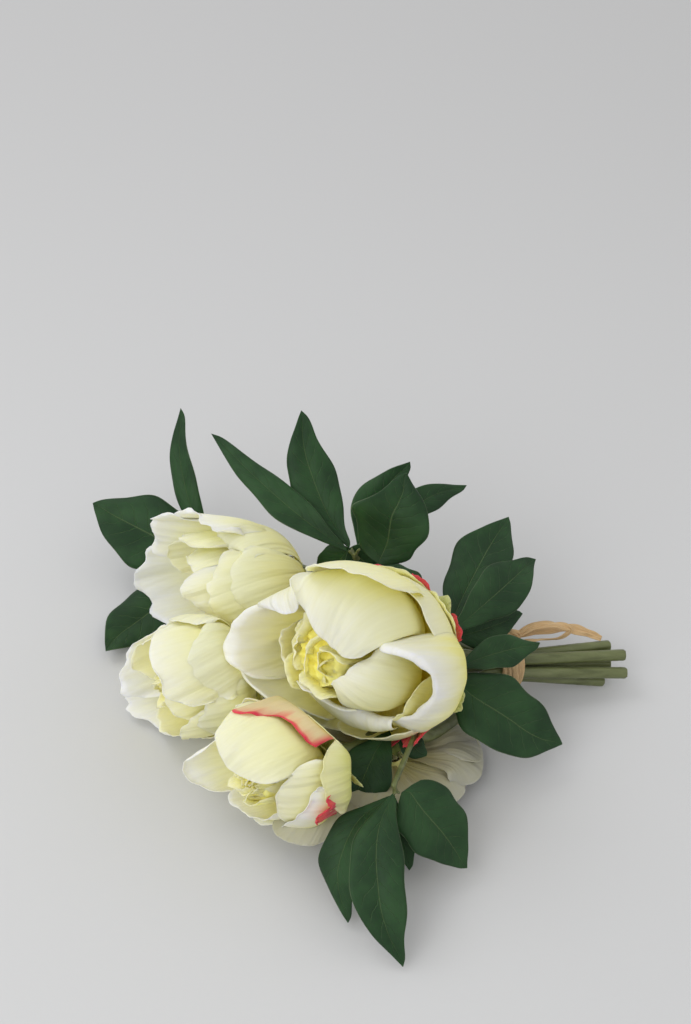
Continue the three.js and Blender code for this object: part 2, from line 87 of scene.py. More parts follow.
def through(points, t):
    """Places at the shares t of a smooth curve through the points."""
    p = np.asarray(points, float)
    p = np.vstack([2 * p[0] - p[1], p, 2 * p[-1] - p[-2]])
    x = np.clip(np.asarray(t, float), 0, 1) * (len(p) - 3)
    i = np.minimum(x.astype(int), len(p) - 4)
    f = (x - i)[:, None]
    a, b, c, d = p[i], p[i + 1], p[i + 2], p[i + 3]
    square, cube = 2 * a - 5 * b + 4 * c - d, 3 * b - a - 3 * c + d
    return 0.5 * (2 * b + (c - a) * f + square * f ** 2 + cube * f ** 3)


def linked(name, data):
    """A new object in the scene."""
    made = bpy.data.objects.new(name, data)
    bpy.context.scene.collection.objects.link(made)
    return made


def new_object(name, vertices, faces, uv, looks=None):
    """A smooth-shaded mesh object from places in millimetres, with the tone and frost of each."""
    mesh = bpy.data.meshes.new(name)
    mesh.from_pydata((np.asarray(vertices) * MM).tolist(), [], faces)
    layer = mesh.uv_layers.new(name="across_along")
    corners = np.zeros(len(mesh.loops), int)
    mesh.loops.foreach_get("vertex_index", corners)
    layer.uv.foreach_set("vector", np.asarray(uv, np.float32)[corners].ravel())
    if looks is not None:
        for look, values in zip(("tone", "frost"), np.asarray(looks, np.float32).T):
            attribute = mesh.attributes.new(look, "FLOAT", "POINT")
            attribute.data.foreach_set("value", np.ascontiguousarray(values))
    mesh.shade_smooth()
    return linked(name, mesh)


def grid_faces(rows, columns, start=0):
    """The faces of a grid of points whose first one has the number start."""
    faces = []
    for i in range(rows - 1):
        for j in range(columns - 1):
            a = start + i * columns + j
            faces.append((a, a + 1, a + 1 + columns, a + columns))
    return faces


def grid_object(name, grid, across, along, look=None):
    """An object from rows of points, with its texture coordinates and perhaps one tone and frost."""
    uv = np.stack(np.broadcast_arrays(across, along), -1).reshape(-1, 2)
    looks = look and [look] * len(uv)
    return new_object(name, grid.reshape(-1, 3), grid_faces(*grid.shape[:2]), uv, looks)


def thicken(piece, thickness):
    solidify = piece.modifiers.new("thickness", "SOLIDIFY")
    solidify.thickness = thickness * MM
    solidify.offset = 0
    return piece


def apply_modifiers(*pieces):
    bpy.context.view_layer.update()
    graph = bpy.context.evaluated_depsgraph_get()
    for piece in pieces:
        made = bpy.data.meshes.new_from_object(piece.evaluated_get(graph))
        piece.modifiers.clear()
        piece.data = made


def join(name, pieces):
    """Several mesh objects as one, with their modifiers applied."""
    apply_modifiers(*pieces)
    with bpy.context.temp_override(active_object=pieces[0], selected_editable_objects=pieces):
        bpy.ops.object.join()
    pieces[0].name = name
    return pieces[0]


def finish_piece(piece, look, slot, *nodes):
    """Gives a piece its material and body, and hides the CAD nodes that it replaces. The slot is not used.
    """
    piece.data.materials.append(MATERIALS[look])
    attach(piece, "root")
    if nodes:
        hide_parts(*nodes)
    return piece


# ---------- where the flowers are ----------
class Flower:
    """A flower's own axes, from its stem's last ring and its heart, and what it is pressed against."""

    def __init__(self, name):
        self.name = name
        heart = node_points(name + "_heart").mean(0)
        stem = node_points(STEM_OF[name])
        last_ring = stem[np.argsort(np.linalg.norm(stem - heart, axis=1))[:8]]
        end = last_ring.mean(0)
        axis = np.linalg.svd(last_ring - end)[2][2]
        self.axis = axis * np.sign(axis @ (heart - end))
        self.across = unit(np.cross(self.axis, (0, 0, 1)))
        self.along = np.cross(self.axis, self.across)
        self.base = end + CALYX_HEIGHT * self.axis
        self.petals = node_points(name + "_outer_petals")
        self.planes = []

    def place(self, local):
        """Points in the flower's own axes as points of the scene."""
        return self.base + local @ np.array([self.across, self.along, self.axis])


FLOWERS = {name: Flower(name) for name in STEM_OF}


def add_press_planes():
    """Planes between neighbouring flowers, halfway between their CAD petals, and the floor."""
    for flower in FLOWERS.values():
        floor = flower.petals[:, 2].min()
        flower.planes.append((np.array([0, 0, 1.0]), max(floor, PETAL_FLOOR), FLOOR_PRESS))
    pairs = [(a, b) for a in FLOWERS.values() for b in FLOWERS.values() if a.name < b.name]
    for a, b in pairs:
        if {a.name, b.name} == NESTED:
            continue
        way = unit(b.petals.mean(0) - a.petals.mean(0))
        top, bottom = (a.petals @ way).max(), (b.petals @ way).min()
        if bottom - top < NEIGHBOUR_ROOM:
            middle = (top + bottom) / 2
            a.planes.append((-way, -middle, NEIGHBOUR_PRESS))
            b.planes.append((way, middle, NEIGHBOUR_PRESS))


add_press_planes()


def pressed(points, planes):
    """Points moved to the side of each plane that its normal points to, softly within its depth."""
    for normal, offset, depth in planes:
        height = points @ normal - offset
        lifted = np.where(height < depth, depth * np.exp(np.minimum((height - depth) / depth, 0)), height)
        points = points + np.outer(lifted - height, normal)
    return points


# ---------- petals ----------
def round_about(degrees, radius, height):
    """Places round a flower's axis, in its own axes."""
    angle = np.radians(degrees)
    parts = np.broadcast_arrays(radius * np.cos(angle), radius * np.sin(angle), height)
    return np.stack(parts, -1)


def spread_over(t, values):
    """A number, or a few numbers shared out evenly over t."""
    values = np.atleast_1d(values)
    return np.interp(t, np.linspace(0, 1, len(values)), values)


def waves(x, rng, *frequencies):
    """A smooth irregular line: sines of these frequencies with seeded phases."""
    phases = rng.uniform(0, 2 * math.pi, len(frequencies))
    return sum(np.sin(f * x + p) / (1 + 0.6 * k) for k, (f, p) in enumerate(zip(frequencies, phases)))


def petal_body(spec, rng, t, rows):
    """The rows of a petal from its base to its rim, and the degrees of the rim's points.

    Each column is a cubic Bezier curve from the base ring to the rim. The petal's belly is the
    point halfway along it.
    """
    end_weight, middle_weight = 0.125, 0.375
    side = 2 * t - 1
    lift = spec["lift"]
    edge = through([round_about(*place) for place in spec["rim"]], t)
    degrees = np.degrees(np.unwrap(np.arctan2(edge[:, 1], edge[:, 0])))
    centre = degrees[len(t) // 2]
    radius = np.hypot(edge[:, 0], edge[:, 1])
    belly_radius, belly_height = [spread_over(t, values) for values in spec["belly"]]
    reach = (belly_radius - end_weight * (radius + PETAL_ROOT)) / (2 * middle_weight)
    low = lift + 0.04 * belly_height
    high = (belly_height - end_weight * (lift + edge[:, 2]) - middle_weight * low) / middle_weight
    a = round_about(centre + 0.5 * (degrees - centre), PETAL_ROOT, lift)
    b = round_about(centre + 0.65 * (degrees - centre), reach, low)
    c = round_about(centre + spec["waist"] * (degrees - centre), reach, high)
    edge = edge + unit_rows(edge - c) * (0.5 * spec["wave"] * waves(side, rng, 7, 13, 21))[:, None]
    s = np.linspace(0, 1, rows)[:, None, None] * (1 - spec["round"] * np.abs(side) ** 5)[None, :, None]
    body = (1 - s) ** 3 * a + 3 * (1 - s) ** 2 * s * b + 3 * (1 - s) * s ** 2 * c + s ** 3 * edge
    return body, degrees


def rolled_strip(spec, rng, t, body, degrees):
    """The rows of a petal past its rim, which curl out or in."""
    edge = body[-1]
    tip = unit_rows(edge - body[-2])
    out = np.cross(unit_rows(np.gradient(edge, axis=0)), tip)
    outward = round_about(degrees, 1.0, -0.3)
    out *= np.where((out * outward).sum(1) < 0, -1, 1)[:, None]
    lengths = spread_over(t, spec["roll"][0]) * (1 + 0.25 * waves(2 * t - 1, rng, 4, 9))
    turns = np.radians(spread_over(t, spec["roll"][1]))
    strips = [edge]
    for k in range(1, ROLL_ROWS + 1):
        angle = turns * k / ROLL_ROWS
        step = tip * np.cos(angle)[:, None] + out * np.sin(angle)[:, None]
        strips.append(strips[-1] + step * (lengths / ROLL_ROWS)[:, None])
    return np.array(strips[1:])


def ruffles(side, v, rng):
    """How far a petal's points stand off it: folds from the base, ruffles at the rim and the sides."""
    folds = 0.45 * waves(side, rng, 5, 11, 19) * v ** 1.5
    rim = 0.6 * waves(side + 0.1 * v, rng, 8, 15, 26) * v ** 6
    flutter = 0.7 * waves(v, rng, 7, 12) * np.abs(side) ** 5 * smooth(v * 1.6)
    swell = 0.45 * np.sin(3.5 * side + 3 * v + rng.uniform(0, 6)) * smooth(v * 1.5)
    return folds + rim + flutter + swell


def petal_grid(spec, rng, rows, columns):
    """One petal as rows of points, from its base to its rim, and its texture coordinates."""
    t = np.linspace(0, 1, columns)
    body, degrees = petal_body(spec, rng, t, rows)
    grid = np.concatenate([body, rolled_strip(spec, rng, t, body, degrees)])
    v = np.linspace(0, 1, len(grid))[:, None]
    normal = np.cross(np.gradient(grid, axis=1), np.gradient(grid, axis=0))
    normal /= np.linalg.norm(normal, axis=2)[:, :, None] + 1e-9
    grid = grid + normal * (ruffles(2 * t - 1, v, rng) * spec["wave"])[:, :, None]
    return grid, np.stack(np.broadcast_arrays(t, v), -1)


def build_petals(flower, name, specs, seed, rows=ROWS, columns=COLUMNS, planes=None):
    """One object of several petals of a flower, pressed at its own planes or at those given."""
    planes = flower.planes if planes is None else planes
    rng = np.random.default_rng(seed)
    vertices, faces, uvs, looks = [], [], [], []
    for spec in specs:
        grid, uv = petal_grid(spec, rng, rows, columns)
        faces += grid_faces(*grid.shape[:2], sum(map(len, vertices)))
        vertices.append(pressed(flower.place(grid.reshape(-1, 3)), planes))
        uvs.append(uv.reshape(-1, 2))
        looks += [(spec["tone"], spec["frost"])] * len(vertices[-1])
    piece = new_object(name, np.concatenate(vertices), faces, np.concatenate(uvs), looks)
    return thicken(piece, SILK)


def petal(rim, belly, roll=(1, 15), wave=0.8, lift=3, waist=0.88, tone=0.2, frost=0.3, corner=0.3):
    """What petal_grid needs to know of a petal.

    rim is a few (degrees, radius, height) places along the petal's edge, belly the radius and
    height of its middle, roll (length, degrees) the strip at the rim that curls out, or in if
    the degrees are negative, wave the height of the ruffles, lift the height where it starts,
    waist the belly's width as a share of the rim's, tone its colour from cream at 0 to deep yellow
    at 1, frost how white its edge is and corner how far the rim's corners are cut back.
    """
    return {"rim": rim, "belly": belly, "roll": roll, "wave": wave, "lift": lift, "waist": waist,
            "tone": tone, "frost": frost, "round": corner}


def ring(count, start, half, radius, height, belly, seed, **other):
    """Equal petals round the axis, each a little different."""
    rng = np.random.default_rng(seed)
    petals = []
    for i in range(count):
        at = start + 360 * i / count + rng.uniform(-6, 6)
        r = radius * rng.uniform(0.93, 1.07)
        z = height * rng.uniform(0.93, 1.07)
        wide = half * rng.uniform(0.9, 1.1)
        rim = [(at - wide, r * 0.96, z * 0.82), (at - 0.5 * wide, r, z * 0.97), (at, r * 1.02, z),
               (at + 0.5 * wide, r, z * 0.96), (at + wide, r * 0.96, z * 0.8)]
        petals.append(petal(rim, belly, **other))
    return petals


# Petals by flower and layer. Degrees run round the flower's axis, radii and heights are in mm.
PETALS = {name: {} for name in STEM_OF}
PETALS["flower_1"]["inner"] = [
    petal([(118, 12, 50), (138, 10, 57), (165, 10, 59), (195, 13, 56), (222, 19, 50), (238, 22, 42)],
          ([20, 25, 28, 27, 25], 30), (1.5, 10), 0.7, 5, tone=0.4, frost=0.5),
    petal([(300, 12, 52), (330, 11, 59), (10, 10, 61), (55, 12, 59), (85, 14, 50)], (13, 32), wave=0.7,
          lift=5, tone=0.7),
    petal([(318, 20, 52), (345, 19, 60), (15, 19, 59), (38, 20, 52)], (21, 30), (2, -40), 1.0, 5,
          tone=0.75),
    petal([(345, 27, 50), (5, 28, 56), (28, 27, 54), (45, 25, 46)], (26, 26), (2, 30), 1.4, 5, tone=0.6,
          frost=0.5),
    petal([(252, 22, 48), (280, 19, 56), (310, 18, 54)], (27, 28), wave=0.6, lift=5, tone=0.7),
]
PETALS["flower_1"]["middle"] = [
    petal([(322, 37, 58), (312, 34, 69), (297, 22, 70), (274, 14, 64), (243, 11, 60), (222, 17, 55),
           (236, 23, 46)], ([38, 40, 41, 38, 32, 26], [36, 36, 36, 35, 32, 28]),
          ([7, 6, 5, 3, 2, 2], [120, 100, 60, 20, 10, 10]), 0.6, 4, 0.8, tone=0.12, frost=0.5),
    petal([(30, 30, 48), (50, 22, 54), (73, 17, 55), (92, 18, 48), (111, 22, 41), (128, 25, 35),
           (143, 27.5, 32), (154, 30, 30)], (31, 20),
          ([1, 2, 5, 8, 9, 9, 8, 5], [20, 40, 70, 90, 100, 105, 110, 110]), 0.6, 4, tone=0.35, frost=1.0,
          corner=0.06),
    petal([(359, 43, 58), (352, 39, 67), (340, 31, 71), (325, 25, 71), (315, 26, 66)], (39, 40), (2, 20),
          0.3, 4, frost=1.0, corner=0.1),
]
PETALS["flower_1"]["outer"] = [
    petal([(238, 22, 49), (230, 29, 53), (223, 37, 53), (217, 44, 49), (208, 47.5, 43), (197, 46.5, 37),
           (186, 43, 33), (174, 39, 31), (162, 34, 30), (148, 29, 30)], ([38, 42, 43, 42, 38], 12),
          ([5, 7, 6, 4.5, 3.5, 3, 3, 5, 6, 3], [-80, -110, -120, -120, -110, -100, -100, -110, -110, -70]),
          0.7, tone=0.85, frost=1.0, corner=0.04),
    petal([(12, 42, 52), (28, 46, 59), (44, 47, 59), (58, 42, 56), (67, 36, 52), (75, 31, 46),
           (86, 28, 36)], (34, 20), ([4, 6, 7, 7, 5, 3], [60, 70, 90, 90, 80, 60]), 1.6, waist=1.0,
          tone=0.35, frost=0.8),
    petal([(338, 33, 56), (355, 39, 64), (10, 44, 65), (24, 46, 64), (36, 46, 62), (46, 42, 57)], (34, 24),
          ([4, 6, 7, 7, 6, 4], 80), 1.6, waist=1.0, tone=0.35, frost=0.8),
    petal([(254, 43, 44), (261, 46, 58), (270, 47, 68), (282, 45, 71), (295, 42.5, 71), (307, 40, 69),
           (318, 37, 58)], (42, 26), (2, 20), 0.9, waist=1.1, tone=0.45),
    petal([(200, 32, 10), (222, 37, 21), (250, 39, 28), (270, 39, 31), (288, 39, 26), (300, 38, 14)],
          (36, 9), (2, 30), 0.6, tone=0.45),
    petal([(80, 32, 30), (100, 34, 30), (122, 35, 27), (146, 36, 24), (165, 35, 16)], (34, 8), (2, 40), 0.6,
          tone=0.7),
    # painted shade: this low petal in the hollow gets the deepest yellow and no pale edge, to stand in for
    # the hollow's shade
    petal([(138, 29, 26), (160, 31, 31), (182, 32, 32), (206, 32, 28)], (31, 10), (2, 10), 0.5, waist=1.0,
          tone=1.0, frost=0.0),
    petal([(48, 37, 34), (56, 39, 39), (66, 39, 38), (76, 40, 31), (86, 40, 25), (96, 38, 20),
           (106, 34, 16)], (36, 12), (2, 40), 0.6, tone=0.7),
]
PETALS["flower_2"]["inner"] = [
    petal([(268, 20, 60), (240, 18, 61), (215, 16, 55), (195, 18, 48), (175, 20, 40)], (24, 28), wave=0.9,
          lift=5, frost=0.7),
    petal([(320, 22, 48), (292, 23, 53), (265, 22, 54), (245, 21, 48)], (24, 26), wave=0.7, lift=5,
          tone=0.12),
    *ring(3, 20, 50, 13, 52, (18, 26), 21, wave=1.0, lift=5, tone=0.5),
]
PETALS["flower_2"]["middle"] = [
    petal([(270, 28, 36), (248, 27, 46), (228, 27, 49), (206, 26, 45), (184, 26, 32)], (29, 24), (2, -25),
          1.1, 4, tone=0.15, frost=0.2),
    petal([(335, 30, 44), (312, 31, 53), (290, 31, 56), (268, 29, 50)], (28.5, 24), wave=1.0, lift=4,
          tone=0.1),
    petal([(195, 26, 30), (170, 26, 42), (140, 27, 46), (110, 26, 40)], (27, 20), wave=1.0, lift=4,
          tone=0.12),
    petal([(330, 32, 44), (350, 34, 54), (10, 36, 56), (30, 34, 48)], (29, 22), wave=1.2, lift=4,
          tone=0.12),
]
PETALS["flower_2"]["outer"] = [
    petal([(268, 31, 26), (250, 30, 37), (228, 30, 39), (208, 29, 33), (192, 29, 18)], (32, 16), (2, -25),
          0.9, -3, frost=0.15),
    petal([(345, 30, 20), (320, 30, 33), (292, 31, 38), (265, 31, 33), (248, 31, 20)], (32, 16), (2, -25),
          0.9, -3, tone=0.12, frost=0.15),
    petal([(350, 40, 56), (5, 46, 63), (20, 50, 67), (33, 52, 68), (48, 50, 64), (60, 42, 58),
           (72, 37, 44)], (34, 22), (3, 40), 2.2, frost=1.0),
    petal([(22, 38, 54), (2, 42, 61), (345, 42, 62), (328, 42, 59), (312, 40, 50)], (33, 22), (3, 40), 2.2,
          frost=1.0),
    petal([(334, 39, 48), (318, 42, 53), (300, 42, 52), (284, 41, 46), (274, 37, 36)], (33, 18), (3, 40),
          2.2, frost=1.0),
    petal([(60, 36, 36), (90, 34, 44), (120, 32, 42), (150, 31, 28)], (31, 16), wave=1.0, tone=0.12),
]
PETALS["flower_3"]["middle"] = [
    petal([(308, 28, 36), (287, 29, 45), (257, 28, 50), (228, 27, 50), (212, 27, 45), (198, 26, 35)],
          (28, 20), wave=1.3, lift=4, frost=0.6),
    petal([(205, 26, 28), (185, 26, 40), (160, 25, 43), (135, 24, 35)], (26, 18), wave=0.9, lift=4),
    petal([(270, 20, 40), (240, 20, 47), (200, 20, 46), (165, 20, 38)], (22, 22), wave=1.0, lift=4,
          tone=0.4),
    petal([(300, 22, 38), (335, 24, 46), (15, 26, 48), (50, 26, 40)], (23, 20), wave=1.2, lift=4, tone=0.4),
    petal([(50, 24, 36), (80, 25, 44), (115, 24, 42), (145, 22, 32)], (24, 20), wave=1.2, lift=4, tone=0.4),
]
PETALS["flower_3"]["outer"] = [
    petal([(285, 30, 14), (268, 30, 27), (252, 30, 33), (236, 29, 37), (218, 28, 34), (200, 29, 20)],
          (31, 14), (2, -25), 0.9, frost=0.15),
    petal([(226, 29, 14), (205, 28, 28), (185, 28, 35), (163, 27, 33), (142, 27, 20)], (30, 12), (2, -25),
          1.0, tone=0.25, frost=0.2),
    petal([(328, 27, 26), (345, 30, 35), (5, 33, 43), (22, 37, 48), (36, 39, 50), (48, 38, 48),
           (58, 35, 42)], (28, 18), (3, 40), 2.1, frost=1.0),
    petal([(24, 36, 40), (36, 40, 46), (48, 42, 50), (58, 41, 50), (67, 39, 47), (80, 35, 44), (93, 32, 40),
           (106, 27, 32)], (29, 18), (3, 40), 2.1, frost=1.0),
    petal([(330, 30, 20), (310, 31, 32), (290, 32, 32), (270, 31, 20)], (30, 12)),
    petal([(85, 27, 20), (110, 28, 30), (135, 28, 28), (160, 28, 16)], (28, 12), wave=0.9),
]
PETALS["flower_4"]["inner"] = [
    *ring(5, 30, 44, 12, 38, (15, 20), 41, wave=1.0, lift=5, tone=0.75, frost=0.4),
    *ring(4, 80, 50, 7, 40, (9, 20), 42, wave=1.0, lift=5, tone=0.85, frost=0.3),
]
PETALS["flower_4"]["middle"] = [
    petal([(325, 23, 38), (308, 22, 50), (286, 20, 57), (258, 13, 55), (222, 13, 50), (198, 19, 43)],
          ([28, 28, 28, 27, 25], 26), (1, 10), 0.35, 4, 0.8, tone=0.15),
    petal([(231, 29, 21), (222, 28, 28), (209, 24, 32), (188, 20, 34), (152, 20, 32), (118, 25, 29)],
          ([30, 29, 27, 26, 26], 14), (1.5, 20), 0.5, 4, tone=0.35),
    petal([(58, 22, 36), (78, 25, 41), (98, 25, 37), (120, 24, 32), (138, 22, 24)], (24, 16), (2, 30), 0.9,
          4, tone=0.3, frost=0.8),
]
PETALS["flower_4"]["outer"] = [
    petal([(350, 18, 46), (8, 20, 52), (25, 26, 55), (40, 33, 54), (54, 32, 50), (66, 27, 44),
           (76, 24, 35)], (25, 24), (3, -50), 0.6, frost=0.9),
    petal([(62, 28, 26), (78, 37, 33), (92, 38, 30), (106, 33, 28), (118, 28, 20)], (29, 12), (2, 30),
          tone=0.35, frost=0.6),
    petal([(207, 30, 19), (200, 30, 21), (188, 29, 22), (162, 27, 24), (130, 27, 26), (105, 31, 25)],
          (29, 10), (2, 40), 0.6, tone=0.75, frost=1.0),
    petal([(300, 30, 18), (325, 31, 30), (350, 30, 34), (10, 27, 26)], (29, 14)),
]
PETALS["flower_5"]["middle"] = ring(5, 40, 44, 37, 10, (26, 2), 51, wave=0.5, lift=4, tone=0.1)
PETALS["flower_5"]["outer"] = [
    petal([(304, 50, 9), (294, 64, 12), (284, 66, 12), (275, 60, 12), (267, 50, 11), (258, 42, 8)], (34, 2),
          wave=0.6, lift=2, tone=0.1),
    petal([(108, 42, 8), (122, 47, 10), (138, 46, 10), (155, 43, 10), (170, 37, 9), (184, 30, 7)], (28, 0),
          wave=0.6, lift=2, tone=0.1),
    *ring(3, 5, 38, 42, 9, (28, 0), 52, wave=0.6, lift=2, tone=0.1),
]
# The small petals in the middle: how many, radius, height, width, and which way and how far they are moved.
HEARTS = {
    "flower_1": (16, 16, 59, 16, (2, 9)), "flower_2": (12, 9, 44, 9, (0, 2)),
    "flower_3": (12, 11, 40, 9, (20, 3)), "flower_4": (14, 10, 41, 12, (140, 7)),
    "flower_5": (12, 10, 12, 5, (0, 0)),
}
# The short outermost petals, lime all over or coral at the rim: degrees, radius and height of each tip.
LIME_GUARDS = {
    "flower_1": [(297, 41, 14), (252, 38, 10), (192, 40, 16), (109, 38.5, 16), (66, 41, 16), (20, 40, 18)],
    "flower_2": [(300, 12, 1), (228, 12, 1), (156, 22, 2), (84, 23, 4), (12, 22, 2)],
    "flower_3": [(300, 19, 1), (228, 19, 1), (156, 21, 2), (84, 22, 3), (12, 21, 2)],
    "flower_4": [(335, 28, 10), (30, 28, 10), (262, 34, 12),
                 petal([(244, 29, 10), (230, 32, 16), (216, 34, 19), (202, 34, 18), (188, 31, 16),
                        (172, 29, 10)], (31, 5), (2, 30), 0.8, frost=0.5)],
    "flower_5": [(20, 6, 1), (92, 6, 1), (164, 6, 1), (236, 6, 1), (308, 6, 1)],
}
CORAL_GUARDS = {
    "flower_1": [(318, 43, 8), (284, 38, 5), (238, 35, 2), (119, 40, 17), (143, 40, 15), (89, 48, 5),
                 (345, 40, 8)],
    "flower_2": [(120, 21, 0), (48, 21, 0)],
    "flower_3": [(120, 20, 0), (48, 20, 0)],
    "flower_4": [petal([(320, 25, 40), (306, 27, 43), (292, 28, 44), (281, 29.5, 37), (272, 30, 30),
                        (261, 30.5, 26), (248, 30.5, 23), (238, 29, 20)],
                       ([29, 29.5, 31, 31, 29], [10, 10, 9, 7, 5]), (2, -20), 1.0, tone=0.1,
                       frost=1.0, corner=0.05), (191, 33, 16), (176, 33, 20), (60, 30, 8)],
    "flower_5": [(56, 5, 0)],
}
# Places, half width in degrees, tone and frost of each kind.
GUARDS = {"lime": (LIME_GUARDS, 24, 0.5, 0.4), "coral": (CORAL_GUARDS, 14, 1.0, 0.9)}
# Sepals: radius and height of the tips, and turn.
SEPALS = {"flower_1": (38, 1, 42), "flower_2": (11, 0, 50), "flower_3": (17, 0, 20),
          "flower_4": (25, -1, 50), "flower_5": (7, 0, 30)}
CUP = [(3.3, -4.2), (4.0, -3.4), (5.0, -1.2), (6.2, 0.6), (5.4, 1.0), (0.05, 0.4)]  # radius, height


# ---------- materials ----------
SILK_WEAVE, SATIN_GRAIN, FLOOR_GRAIN = 1600, 1400, 900  # scales of the finest bumps, to a metre
VEINS, VEIN_SLANT = 9, 0.2  # side veins along a leaf, and how far each runs back, as a share of its length
CUT_ENDS = (0.11, 0.12)  # in metres: past this X the stems are cut off


class Nodes:
    """A new material with short ways to add and join nodes."""

    def __init__(self, name, roughness):
        self.material = bpy.data.materials.new(name)
        self.material.use_nodes = True
        self.tree = self.material.node_tree
        self.shader = self.tree.nodes["Principled BSDF"]
        self.set("Roughness", roughness)

    def set(self, key, value):
        self.shader.inputs[key].default_value = value

    def add(self, kind, inputs=None, **settings):
        node = self.tree.nodes.new("ShaderNode" + kind)
        for key, value in settings.items():
            setattr(node, key, value)
        for key, value in (inputs or {}).items():
            self.put(node.inputs[key], value)
        return node

    def put(self, socket, value):
        """Joins a socket to another one, or sets its value."""
        if isinstance(value, bpy.types.NodeSocket):
            self.tree.links.new(value, socket)
        else:
            socket.default_value = value

    def math(self, operation, *values):
        node = self.tree.nodes.new("ShaderNodeMath")
        node.operation = operation
        for socket, value in zip(node.inputs, values):
            self.put(socket, value)
        return node.outputs[0]

    def times(self, a, b):
        return self.math("MULTIPLY", a, b)

    def minus(self, a, b):
        return self.math("SUBTRACT", a, b)

    def ramp(self, value, *stops):
        """A smooth ramp through (place, colour) stops."""
        node = self.add("ValToRGB", {"Fac": value})
        node.color_ramp.interpolation = "EASE"
        while len(node.color_ramp.elements) < len(stops):
            node.color_ramp.elements.new(0.5)
        for element, (place, colour) in zip(node.color_ramp.elements, stops):
            element.position = place
            element.color = (*colour, 1)
        return node.outputs["Color"]

    def step(self, value, low, high):
        """0 below low, 1 above high."""
        return self.add("MapRange", {"Value": value, "From Min": low, "From Max": high},
                        interpolation_type="SMOOTHSTEP").outputs["Result"]

    def blend(self, share, a, b, mode="MIX"):
        """Colour a with this share of colour b."""
        node = self.add("Mix", data_type="RGBA", blend_type=mode)
        self.put(node.inputs["Factor"], share)
        for socket, value in ((node.inputs[6], a), (node.inputs[7], b)):
            self.put(socket, value if isinstance(value, bpy.types.NodeSocket) else (*value, 1))
        return node.outputs[2]

    def noise(self, vector, scale, detail=3.0):
        return self.add("TexNoise", {"Vector": vector, "Scale": scale, "Detail": detail}).outputs["Fac"]

    def across_along(self):
        """The texture coordinates of a piece, and their two parts."""
        uv = self.add("UVMap", uv_map="across_along").outputs["UV"]
        parts = self.add("SeparateXYZ", {"Vector": uv})
        return uv, parts.outputs["X"], parts.outputs["Y"]

    def place(self):
        """Places in a piece's own axes, in metres."""
        return self.add("TexCoord").outputs["Object"]

    def stretched(self, vector, scale):
        return self.add("Mapping", {"Vector": vector, "Scale": scale}).outputs["Vector"]

    def bump(self, height, strength, distance, normal=None):
        node = self.add("Bump", {"Height": height, "Strength": strength, "Distance": distance})
        if normal is not None:
            self.put(node.inputs["Normal"], normal)
        return node.outputs["Normal"]

    def distance_from_middle(self, across):
        """0 at the middle line of a petal or leaf, 1 at its sides."""
        return self.math("ABSOLUTE", self.minus(self.times(across, 2), 1))

    def done(self, colour, normal):
        self.put(self.shader.inputs["Base Color"], colour)
        self.put(self.shader.inputs["Normal"], normal)
        return self.material


def translucent(nodes, weight, radius, scale):
    """Light that soaks in and comes out beside, as far as radius * scale metres for red, green and blue."""
    nodes.set("Subsurface Weight", weight)
    nodes.set("Subsurface Radius", radius)
    nodes.set("Subsurface Scale", scale)


def silk(name, plain, deep, edge, edge_span=(0.5, 0.88), gradual=0.8):
    """Petal silk: colours from base to rim for tone 0 and 1, a paler edge, streaks, creases and a weave."""
    n = Nodes(name, 0.6)
    uv, u, v = n.across_along()
    tone = n.add("Attribute", attribute_name="tone").outputs["Fac"]
    frost = n.add("Attribute", attribute_name="frost").outputs["Fac"]
    wander = n.minus(n.noise(n.stretched(uv, (6, 1.5, 1)), 1.0), 0.5)
    along = n.math("ADD", v, n.times(wander, 0.3))
    colour = n.blend(tone, n.ramp(along, *plain), n.ramp(along, *deep))
    near_side = n.times(n.step(n.distance_from_middle(u), 0.8, 1.0), n.step(v, 0.3, 0.8))
    pale = n.math("MAXIMUM", n.step(along, *edge_span), n.times(near_side, gradual))
    colour = n.blend(n.times(pale, frost), colour, edge)
    streaks = n.noise(n.stretched(uv, (60, 1.2, 1)), 1.0, 4)
    shade = n.ramp(streaks, (0.3, (0.8, 0.77, 0.55)), (0.7, (1, 1, 1)))
    colour = n.blend(0.12, colour, shade, "MULTIPLY")
    weave = n.noise(n.place(), SILK_WEAVE, 1)
    drift = n.add("VectorMath", {0: n.stretched(uv, (6, 0.8, 1)), 1: n.stretched(n.place(), (30, 30, 30))},
                  operation="ADD").outputs["Vector"]
    normal = n.bump(n.noise(drift, 1.0, 2), 0.6, 0.005)
    normal = n.bump(streaks, 0.1, 0.0006, normal)
    normal = n.bump(weave, 0.1, 0.00015, normal)
    n.set("Sheen Weight", 0.05)
    n.set("Specular IOR Level", 0.2)
    translucent(n, 0.4, (1.0, 0.9, 0.45), 0.003)
    return n.done(colour, normal)


def petal_silk():
    cream = [(0.0, (0.96, 0.82, 0.12)), (0.3, (0.95, 0.9, 0.38)), (0.6, (0.93, 0.92, 0.52)),
             (1.0, (0.92, 0.92, 0.64))]
    yellow = [(0.0, (0.9, 0.7, 0.05)), (0.35, (0.94, 0.85, 0.17)), (0.7, (0.95, 0.9, 0.34)),
              (1.0, (0.95, 0.91, 0.48))]
    return silk("petal_silk", cream, yellow, (0.92, 0.92, 0.865))


def shaded_silk():
    """Petal silk in darker, greyer colours, painted shade for flower 5, which lies in the shadow of the
    flowers above it.
    """
    grey = [(0.0, (0.34, 0.3, 0.12)), (0.5, (0.42, 0.4, 0.27)), (1.0, (0.5, 0.49, 0.38))]
    return silk("shaded_silk", grey, grey, (0.55, 0.54, 0.46))


def lime_silk():
    lime = [(0.0, (0.45, 0.5, 0.1)), (0.5, (0.7, 0.7, 0.22)), (0.9, (0.8, 0.78, 0.36))]
    return silk("lime_silk", lime, lime, (0.84, 0.82, 0.46))


